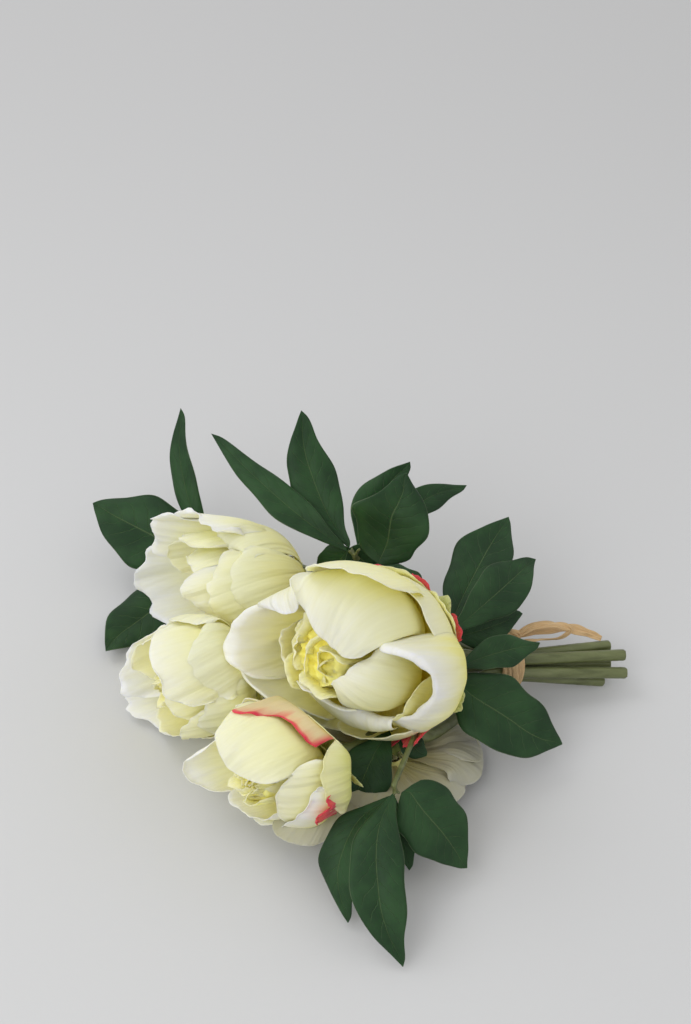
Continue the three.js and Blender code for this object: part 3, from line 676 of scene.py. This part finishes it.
def coral_silk():
    lime = [(0.0, (0.42, 0.46, 0.12)), (0.5, (0.72, 0.7, 0.26)), (0.72, (0.84, 0.7, 0.36)),
            (0.86, (0.86, 0.32, 0.2)), (1.0, (0.78, 0.06, 0.11))]
    coral = [(0.0, (0.42, 0.46, 0.12)), (0.45, (0.8, 0.45, 0.25)), (0.7, (0.8, 0.1, 0.13)),
             (1.0, (0.76, 0.04, 0.09))]
    return silk("coral_silk", lime, coral, (0.74, 0.035, 0.08), (0.72, 0.96), 1.0)


def sepal_green():
    green = [(0.0, (0.2, 0.26, 0.06)), (0.5, (0.36, 0.42, 0.11)), (0.9, (0.5, 0.54, 0.2))]
    return silk("sepal_green", green, green, (0.62, 0.62, 0.34))


def leaf_satin():
    """Dark mottled green with a paler midrib and side veins, and a painted highlight along the rim."""
    n = Nodes("leaf_satin", 0.55)
    uv, u, v = n.across_along()
    place = n.place()
    side = n.distance_from_middle(u)
    mottle = n.noise(place, 60, 4)
    colour = n.ramp(mottle, (0.3, (0.012, 0.038, 0.013)), (0.7, (0.024, 0.068, 0.022)))
    wobble = n.times(n.minus(n.noise(n.stretched(uv, (3, 9, 1)), 1.0), 0.5), 0.1)
    slant = n.minus(n.math("ADD", v, wobble), n.times(side, VEIN_SLANT))
    saw = n.math("ABSOLUTE", n.minus(n.math("FRACT", n.times(slant, VEINS)), 0.5))
    vein = n.times(n.minus(1, n.step(saw, 0.0, 0.05)), n.minus(1, n.step(side, 0.5, 0.9)))
    rib = n.minus(1, n.step(side, 0.0, 0.035))
    colour = n.blend(n.times(vein, 0.36), colour, (0.07, 0.12, 0.05))
    colour = n.blend(n.times(rib, 0.55), colour, (0.1, 0.15, 0.06))
    # painted highlight: the rim and tip are painted paler, as where the leaf's edge catches the light
    rim = n.math("MAXIMUM", n.step(side, 0.965, 1.0), n.step(v, 0.99, 1.0))
    colour = n.blend(n.times(rim, 0.45), colour, (0.16, 0.2, 0.12))
    pressed_in = n.times(n.math("MAXIMUM", vein, rib), -1)
    normal = n.bump(pressed_in, 0.5, 0.0006)
    normal = n.bump(n.noise(place, SATIN_GRAIN, 1), 0.18, 0.0002, normal)
    n.set("Specular IOR Level", 0.22)
    translucent(n, 0.08, (0.3, 1.0, 0.2), 0.002)
    return n.done(colour, normal)


def stem_plastic():
    """Green plastic with fine lines along it, paler on the cut ends."""
    n = Nodes("stem_plastic", 0.38)
    place = n.place()
    streaks = n.noise(n.stretched(place, (18, 320, 320)), 1.0, 4)
    colour = n.ramp(streaks, (0.3, (0.085, 0.1, 0.032)), (0.55, (0.13, 0.15, 0.055)),
                    (0.75, (0.17, 0.19, 0.08)))
    facing = n.add("SeparateXYZ", {"Vector": n.add("TexCoord").outputs["Normal"]}).outputs["X"]
    beyond = n.step(n.add("SeparateXYZ", {"Vector": place}).outputs["X"], *CUT_ENDS)
    colour = n.blend(n.times(n.step(facing, 0.75, 0.95), beyond), colour, (0.36, 0.38, 0.2))
    normal = n.bump(streaks, 0.15, 0.0008)
    translucent(n, 0.1, (0.6, 1.0, 0.3), 0.002)
    return n.done(colour, normal)


def raffia_fibre():
    n = Nodes("raffia_fibre", 0.7)
    uv, _, _ = n.across_along()
    grain = n.noise(n.stretched(uv, (26, 1.4, 1)), 1.0, 5)
    colour = n.ramp(grain, (0.25, (0.4, 0.24, 0.11)), (0.5, (0.6, 0.4, 0.2)), (0.75, (0.72, 0.54, 0.32)))
    normal = n.bump(grain, 0.5, 0.0005)
    translucent(n, 0.15, (1.0, 0.7, 0.4), 0.002)
    return n.done(colour, normal)


def studio_floor():
    """Pale grey, with painted shade that makes it a little darker towards the back."""
    n = Nodes("studio_floor", 0.85)
    depth = n.add("SeparateXYZ", {"Vector": n.place()}).outputs["Y"]
    # painted shade: the floor's colour darkens towards the back and stands in for the light falling off
    colour = n.ramp(n.step(depth, -0.3, 0.9), (0.0, (0.61, 0.613, 0.62)), (1.0, (0.55, 0.55, 0.555)))
    n.set("Specular IOR Level", 0.2)
    return n.done(colour, n.bump(n.noise(n.place(), FLOOR_GRAIN, 2), 0.1, 0.0003))


MATERIALS = {"petal": petal_silk(), "painted_shade": shaded_silk(), "lime": lime_silk(), "coral": coral_silk(),
             "calyx": sepal_green(), "leaf": leaf_satin(), "stem": stem_plastic(),
             "raffia": raffia_fibre(), "floor": studio_floor()}


# ---------- flowers ----------
GOLDEN_ANGLE = 137.5
CUSHION_ROWS, CUSHION_COLUMNS = 22, 61
SEPAL_COUNT, SEPAL_HALF = 5, 13  # half the width of a sepal in degrees
CUP_COLUMNS = 33


def heart_specs(count, radius, height, width, lean, seed):
    """Small upright petals in the middle, by golden angle, all moved to one side by lean."""
    rng = np.random.default_rng(seed)
    middle = round_about(lean[0], lean[1], 0.0)
    specs = []
    for i in range(count):
        at = math.radians(GOLDEN_ANGLE * i + rng.uniform(-12, 12))
        r = radius * math.sqrt((i + 1) / count) * rng.uniform(0.85, 1.1)
        x, y = middle[0] + r * math.cos(at), middle[1] + r * math.sin(at)
        degrees, r = math.degrees(math.atan2(y, x)), max(math.hypot(x, y), 2)
        z = height * rng.uniform(0.86, 1.04)
        half = math.degrees(width * rng.uniform(0.6, 1.4) / 2 / max(r, 4))
        skew = rng.uniform(-0.25, 0.25)
        rim = [(degrees - half, r * (1 - skew), z * 0.93), (degrees - half / 2, r * (1 - skew / 2), z),
               (degrees + half / 2, r * (1 + skew / 2), z), (degrees + half, r * (1 + skew), z * 0.94)]
        specs.append(petal(rim, (r * 0.85 + 2, z * 0.5), (rng.uniform(2, 7), rng.uniform(-90, 120)), 0.6, 6,
                           tone=rng.uniform(0.55, 1.0), frost=0.0))
    return specs


def heart_cushion(flower, radius, height, lean, seed):
    """A crumpled cap that closes the middle below the tips of the small petals."""
    rng = np.random.default_rng(seed)
    middle = round_about(lean[0], lean[1], 0.0)
    turns = np.radians(np.linspace(0, 360, CUSHION_COLUMNS))
    shares = np.linspace(0, 1, CUSHION_ROWS)[:, None]
    r = radius * np.minimum(shares * 1.35, 1)
    x, y = r * np.cos(turns), r * np.sin(turns)
    crumple = np.zeros(x.shape)
    for pitch in (0.32, 0.55, 0.9):
        lean_x, lean_y, phase = rng.uniform(-1, 1), rng.uniform(-1, 1), rng.uniform(0, 6)
        crumple += np.sin(pitch * (x + lean_x * y) + phase) * np.sin(pitch * (y + lean_y * x) + 2 * phase)
    skirt = 40 * np.maximum(shares - 0.75, 0)
    z = height - 0.2 * r ** 2 / radius + 1.6 * crumple * smooth(r / 4) - skirt
    grid = np.stack([x + middle[0], y + middle[1], z], -1)
    return grid_object("cushion", flower.place(grid), turns / 6, 0.3 + 0.4 * shares, (0.9, 0.0))


def guard_specs(places, half, tone, frost, seed):
    """Short petals with their tips at these places. A place may be a whole petal instead."""
    rng = np.random.default_rng(seed)
    specs = []
    for place in places:
        if isinstance(place, dict):
            specs.append(place)
            continue
        at, r, z = place
        wide = half * rng.uniform(0.85, 1.15)
        rim = [(at - wide, r * 0.88, z * 0.5 - 1), (at - 0.6 * wide, r * 0.98, z * 0.9), (at, r, z),
               (at + 0.55 * wide, r * 0.99, z * 0.92), (at + wide, r * 0.9, z * 0.5 - 1)]
        specs.append(petal(rim, (r * 0.76, z * 0.2), (2, 50), 0.9, 1.5, tone=tone, frost=frost))
    return specs


def sepal_specs(radius, height, turn, seed):
    """Narrow sepals round the cup."""
    rng = np.random.default_rng(seed)
    specs = []
    for i in range(SEPAL_COUNT):
        at = turn + 360 / SEPAL_COUNT * i + rng.uniform(-10, 10)
        r, z = radius * rng.uniform(0.85, 1.1), height + rng.uniform(-3, 4)
        rim = [(at - SEPAL_HALF, r * 0.9, z), (at, r, z + 1), (at + SEPAL_HALF, r * 0.9, z)]
        specs.append(petal(rim, (r * 0.66, z * 0.2 - 1), (3, 50), 0.5, -0.5, tone=0.5, frost=0.3))
    return specs


def calyx_cup(flower, name):
    """The green cup that the stem ends in."""
    turns = np.linspace(0, 360, CUP_COLUMNS)
    grid = np.array([round_about(turns, r, z) for r, z in CUP])
    along = np.linspace(0, 0.5, len(CUP))[:, None]
    return grid_object(name, flower.place(grid), turns / 360, along, (0.5, 0.3))


def build_heart(name, seed):
    """The tuft of small petals in the middle and the cushion between them."""
    flower = FLOWERS[name]
    _, radius, height, _, lean = HEARTS[name]
    tuft = build_petals(flower, f"{name}_tuft", heart_specs(*HEARTS[name], seed), seed, *SMALL)
    cushion = heart_cushion(flower, radius * 0.95, height * 0.95, lean, seed)
    finish_piece(join(f"{name}_heart_tuft", [tuft, cushion]), "petal", "heart", f"{name}_heart")


def build_guards(name, seed):
    """The short lime and coral petals, which may reach a little past the halfway planes."""
    flower = FLOWERS[name]
    (up, floor, depth), *others = flower.planes
    planes = [(up, max(floor - GUARD_SLACK, PETAL_FLOOR), depth)]
    planes += [(way, offset - GUARD_SLACK, GUARD_PRESS) for way, offset, _ in others]
    for look, (places, half, tone, frost) in GUARDS.items():
        specs = guard_specs(places[name], half, tone, frost, seed)
        piece = build_petals(flower, f"{name}_{look}_petals_silk", specs, seed, planes=planes)
        finish_piece(piece, look, "petal")


def build_calyx(name, seed):
    """The sepals and the cup that they grow from."""
    flower = FLOWERS[name]
    sepals = build_petals(flower, f"{name}_sepals", sepal_specs(*SEPALS[name], seed), seed + 2)
    cup = calyx_cup(flower, f"{name}_cup")
    finish_piece(join(f"{name}_calyx_sepals", [sepals, cup]), "calyx", "calyx", f"{name}_calyx")


def build_flower(name, seed):
    """One flower, each layer of petals with the next seed."""
    # flower 5's petals take the darker, greyer silk: painted shade for the shadow that they lie in
    look = "painted_shade" if name == "flower_5" else "petal"
    for layer, specs in PETALS[name].items():
        piece = build_petals(FLOWERS[name], f"{name}_{layer}_petals_silk", specs, seed)
        finish_piece(piece, look, "petal", f"{name}_{layer}_petals")
        seed += 1
    build_heart(name, seed)
    build_guards(name, seed + 1)
    build_calyx(name, seed)


# ---------- leaves ----------
LEAF_ROWS, LEAF_COLUMNS = 44, 17
LEAF_STATIONS = np.array([0.04, 0.14, 0.26, 0.4, 0.54, 0.68, 0.82, 0.94])  # shares of a leaf's length
LEAF_SEED = 7
EDGE_WIDTH = 0.4  # section points this near the outermost one belong to the same edge
TO_CAMERA = (0.0, -0.55, 0.84)  # the side of a leaf that faces this way is its top
LOWER_LEAVES = [((-15, -3, -24), 20), ((24, -4, -27), 24)]  # from the fork of leaf_b to the tip, width
LOWER_FACING = (0.0, -0.7, 0.7)  # the way that these two leaves face


def section_edges(points, edges, base, chord, across, station):
    """Left and right edge points of a CAD leaflet's section at a share of its length."""
    share = (points - base) @ chord / (chord @ chord) - station
    a, b = share[edges[:, 0]], share[edges[:, 1]]
    cut = a * b < 0
    f = (a[cut] / (a[cut] - b[cut]))[:, None]
    found = points[edges[cut, 0]] * (1 - f) + points[edges[cut, 1]] * f
    order = found @ across
    left, right = order < order.min() + EDGE_WIDTH, order > order.max() - EDGE_WIDTH
    return found[left].mean(0), found[right].mean(0)


def blade_sections(node):
    """Left and right edge points of a CAD leaflet at stations from its base to its tip, in mm."""
    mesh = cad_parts[node].data
    points = np.array([v.co for v in mesh.vertices]) / MM
    edges = np.array([e.vertices[:] for e in mesh.edges])
    stem = node_points(STEM_BY_LEAF[node[:6]])
    cloud = node_points(node)
    apart = np.linalg.norm(cloud[:, None] - cloud[None], axis=2)
    i, j = np.unravel_index(apart.argmax(), apart.shape)
    base, tip = sorted((cloud[i], cloud[j]), key=lambda p: np.linalg.norm(stem - p, axis=1).min())
    chord = tip - base
    spread = cloud - cloud.mean(0)
    spread = spread - np.outer(spread @ unit(chord), unit(chord))
    across = np.linalg.svd(spread)[2][0]
    if np.cross(across, unit(chord)) @ TO_CAMERA < 0:
        across = -across
    cuts = [section_edges(points, edges, base, chord, across, station) for station in LEAF_STATIONS]
    left, right = zip(*cuts)
    return np.array([base, *left, tip]), np.array([base, *right, tip])


def blade(name, left, right, rng):
    """A leaf between its left and right edges: folded, waved and quilted by its veins."""
    spots = np.array([0, *LEAF_STATIONS, 1])
    shares = np.linspace(0, 1, LEAF_ROWS)
    even = np.interp(shares, spots, np.linspace(0, 1, len(spots)))
    left, right = through(left, even)[:, None], through(right, even)[:, None]
    middle = (left + right) / 2
    u = np.linspace(0, 1, LEAF_COLUMNS)[None, :, None]
    v = shares[:, None, None]
    side = 2 * u - 1
    half = np.linalg.norm(right - left, axis=2, keepdims=True) / 2
    across = (right - left) / np.maximum(2 * half, 1e-6)
    forward = np.gradient(middle, axis=0)
    forward /= np.linalg.norm(forward, axis=2, keepdims=True)
    normal = np.cross(across, forward)
    normal /= np.linalg.norm(normal, axis=2, keepdims=True) + 1e-9
    phase = rng.uniform(0, 2 * math.pi, 3)
    bulge = 1 + 0.06 * np.sin(11 * v + phase[1]) + 0.04 * np.sin(19 * v + phase[2]) * np.sign(side)
    gutter = -0.16 * half * (1 - np.abs(side)) ** 2
    belly = 0.12 * half * (1 - side ** 2)
    ruffle = 1.3 * np.abs(side) ** 3 * np.sin(8 * v + phase[0] + 0.8 * np.sign(side)) * smooth(half / 6)
    from_vein = np.abs(((v - VEIN_SLANT * np.abs(side)) * VEINS) % 1 - 0.5)
    quilt = 0.25 * smooth(from_vein / 0.25) * smooth(half / 8) * (1 - np.abs(side) ** 4)
    grid = middle + (right - left) * (side / 2) * bulge + normal * (gutter + ruffle + belly + quilt)
    grid[..., 2] = np.maximum(grid[..., 2], LEAF_FLOOR)
    return thicken(grid_object(name, grid, u[..., 0], v[..., 0]), SATIN)


def loose_leaf(name, base, tip, width, rng):
    """A leaf that has no CAD node, from base to tip, with its width in mm."""
    chord = tip - base
    across = unit(np.cross(chord, LOWER_FACING))
    share = np.array([0, *LEAF_STATIONS, 1])[:, None]
    half = width / 2 * np.sin(math.pi * share ** 0.8) ** 0.8
    middle = base + chord * share
    return blade(name, middle - across * half, middle + across * half, rng)


def build_leaves():
    rng = np.random.default_rng(LEAF_SEED)
    fork = blade_sections("leaf_b_leaflet_4")[0][0]
    for i, (way, width) in enumerate(LOWER_LEAVES):
        leaf = loose_leaf(f"leaf_b_lower_{i + 1}", fork, fork + np.array(way), width, rng)
        finish_piece(leaf, "leaf", "leaf")
    for node in sorted(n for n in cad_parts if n.startswith("leaf")):
        leaf = blade(node + "_satin", *blade_sections(node), rng)
        finish_piece(leaf, "leaf", "leaf", node)


# ---------- stems ----------
def build_stems():
    """Each stem is its CAD solid made round and smooth."""
    for node in sorted(STEM_OF.values()):
        piece = linked(node + "_round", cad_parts[node].data.copy())
        piece.data.materials.clear()
        remesh = piece.modifiers.new("remesh", "REMESH")
        remesh.mode = "VOXEL"
        remesh.voxel_size = STEM_VOXEL * MM
        relax = piece.modifiers.new("relax", "SMOOTH")
        relax.factor = 0.5
        relax.iterations = 5
        apply_modifiers(piece)
        piece.data.shade_smooth()
        finish_piece(piece, "stem", "stem", node)


# ---------- raffia ----------
WRAP_TURNS = [  # shift along the stems, lean, radius and width of each turn
    (-3.6, 0.05, 9.1, 3.6), (-1.2, -0.06, 9.4, 3.8), (1.4, 0.07, 9.2, 3.4), (3.8, -0.04, 9.1, 3.6),
    (0.2, 0.2, 9.9, 3.2),
]
WRAP_POINTS, WRAP_ROWS, WRAP_COLUMNS = 25, 73, 7
STRIP_ROWS, STRIP_COLUMNS = 70, 11
# Strips: points on the way, then widths in mm and twists in degrees, spread along it.
KNOT = {  # from the middle of the knot
    "knot_a": ([(-4, -2, -2), (-2, 0, 2.6), (2.5, 1.5, 2), (4.2, 2, -1.5), (1, 0, -2.6)],
               [4, 5, 4], [0, 60, 120]),
    "knot_b": ([(-3, 2, 2), (0, 1, 3), (3.6, 0, 1), (2, -1, -2), (-2.5, 0, -2)],
               [3, 4, 3], [40, 90, 160]),
}
DRAWN_TIE = (78, 5, 19.5)  # where the tie was when the points below were chosen
LOOP = ([(83.5, 16.4, 29), (92, 20.5, 31), (103, 22.5, 30), (110, 22, 26.5), (104, 19.5, 23.5),
         (92, 17, 25), (84.5, 14.5, 27)], [3, 4, 5, 3, 3, 5, 4], [10, 30, -20, 70, 20, -10, 10])
TAIL = ([(82, 18.4, 26), (94, 23.5, 25.5), (108, 26.5, 23.5), (119, 25.5, 20.8), (126, 23.6, 18.6)],
        [3, 6, 7, 4, 3], [0, 20, -10, 50, 20])


def strip(name, start, points, width, twist):
    """A flat crinkled strip along the points from start, its width and twist given along its way."""
    t = np.linspace(0, 1, STRIP_ROWS)[:, None]
    line = through(start + np.array(points), t[:, 0])
    way = unit_rows(np.gradient(line, axis=0))
    side = unit(np.cross(way[0], (0, 0, 1.0)))
    sides = []
    for w in way:
        side = unit(side - (side @ w) * w)
        sides.append(side)
    sides = np.array(sides)
    ups = np.cross(way, sides)
    angle = np.radians(spread_over(t, twist))
    flat = sides * np.cos(angle) + ups * np.sin(angle)
    rise = ups * np.cos(angle) - sides * np.sin(angle)
    u = np.linspace(-1, 1, STRIP_COLUMNS)
    broad = u * spread_over(t, width) / 2 * (1 + 0.08 * np.sin(23 * t))
    crinkle = 0.28 * np.sin(7 * u + 5 * t) + 0.18 * np.sin(31 * t + 3 * u)
    grid = line[:, None] + flat[:, None] * broad[:, :, None] + rise[:, None] * crinkle[:, :, None]
    return thicken(grid_object(name, grid, (u + 1) / 2, t * len(points) / 2), LOOSE_RAFFIA)


def tie_axes():
    """The tie's middle and the direction of the stems there."""
    wrap = node_points("raffia_wrap")
    centre = (wrap.min(0) + wrap.max(0)) / 2
    axis = np.linalg.svd(wrap - wrap.mean(0))[2][2]
    return centre, axis * np.sign(axis[0])


def wrap_turn(k, shift, lean, radius, width):
    """One turn of raffia round the stems, slightly out of round and arched across its width."""
    centre, axis = tie_axes()
    across = unit(np.cross((0, 0, 1.0), axis))
    above = np.cross(axis, across)
    x = np.linspace(-1, 1, WRAP_COLUMNS)[:, None]
    rings = []
    for a in np.linspace(0, 2 * math.pi, WRAP_POINTS):
        out = math.cos(a) * across + math.sin(a) * above
        point = centre + (radius + 0.15 * math.sin(5 * a + k)) * out
        point = point + (shift + lean * radius * math.sin(a + k)) * axis
        rings.append(point + axis * x * width / 2 + out * 0.25 * (1 - x * x))
    t = np.linspace(0, 1, WRAP_ROWS)
    grid = through(np.reshape(rings, (WRAP_POINTS, -1)), t).reshape(WRAP_ROWS, WRAP_COLUMNS, 3)
    return thicken(grid_object(f"wrap_{k}", grid, (x[:, 0] + 1) / 2, 6 * t[:, None]), WRAP_RAFFIA)


def build_raffia():
    turns = [wrap_turn(k, *turn) for k, turn in enumerate(WRAP_TURNS)]
    knot_ends = node_points("raffia_knot")[[0, -1]]  # the points come sorted along X
    knots = [strip(name, sum(knot_ends) / 2, *route) for name, route in KNOT.items()]
    shift = tie_axes()[0] - np.array(DRAWN_TIE)
    pieces = {"raffia_wrap": join("raffia_wrap_turns", turns),
              "raffia_knot": join("raffia_knot_turns", knots),
              "raffia_loop": strip("raffia_loop_strip", shift, *LOOP),
              "raffia_tail": strip("raffia_tail_strip", shift, *TAIL)}
    for node, piece in pieces.items():
        finish_piece(piece, "raffia", "raffia", node)


# ---------- studio, in metres and watts ----------
SKY = 0.76  # brightness of the white surroundings
# Lamps: place, size and power.
LAMPS = {"key": ((-0.8, 0.6, 1.3), 1.0, 4.8), "front": ((-0.75, -0.95, 1.0), 1.2, 6.9)}
LAMP_AIM = Vector((0, 0, 0.04))  # near the middle of the bunch
FLOOR_SIZE = 6
CAMERA_FROM_TIE = Vector((-0.078, -0.55378, 0.6182))
CAMERA_DOWN = 43  # degrees below the horizontal
LENS, SENSOR = 60, 36  # in millimetres


def build_studio():
    bpy.ops.mesh.primitive_plane_add(size=FLOOR_SIZE)
    floor = bpy.context.object
    floor.name = "floor"
    floor.data.materials.append(MATERIALS["floor"])
    world = bpy.data.worlds.new("studio")
    world.use_nodes = True
    background = world.node_tree.nodes["Background"]
    background.inputs["Color"].default_value = (1.0, 1.0, 0.995, 1)
    background.inputs["Strength"].default_value = SKY
    bpy.context.scene.world = world
    for name, lamp in LAMPS.items():
        soft_light(name, *lamp)


def soft_light(name, place, size, power):
    light = bpy.data.lights.new(name, "AREA")
    light.shape = "DISK"
    light.size = size
    light.energy = power
    lamp = linked(name, light)
    lamp.location = place
    lamp.rotation_euler = (LAMP_AIM - Vector(place)).to_track_quat("-Z", "Y").to_euler()


def build_camera():
    camera = linked("camera", bpy.data.cameras.new("camera"))
    camera.data.lens = LENS
    camera.data.sensor_width = SENSOR
    camera.data.sensor_fit = "AUTO"
    camera.location = Vector(tie_axes()[0] * MM) + CAMERA_FROM_TIE
    camera.rotation_euler = (math.radians(90 - CAMERA_DOWN), 0, 0)
    bpy.context.scene.camera = camera


def set_render():
    scene = bpy.context.scene
    scene.view_settings.view_transform = "Standard"
    scene.cycles.diffuse_bounces = 8
    scene.cycles.max_bounces = 12


build_camera()
for number, flower_name in enumerate(sorted(PETALS)):
    build_flower(flower_name, 100 * (number + 1))
build_leaves()
build_stems()
build_raffia()
build_studio()
set_render()
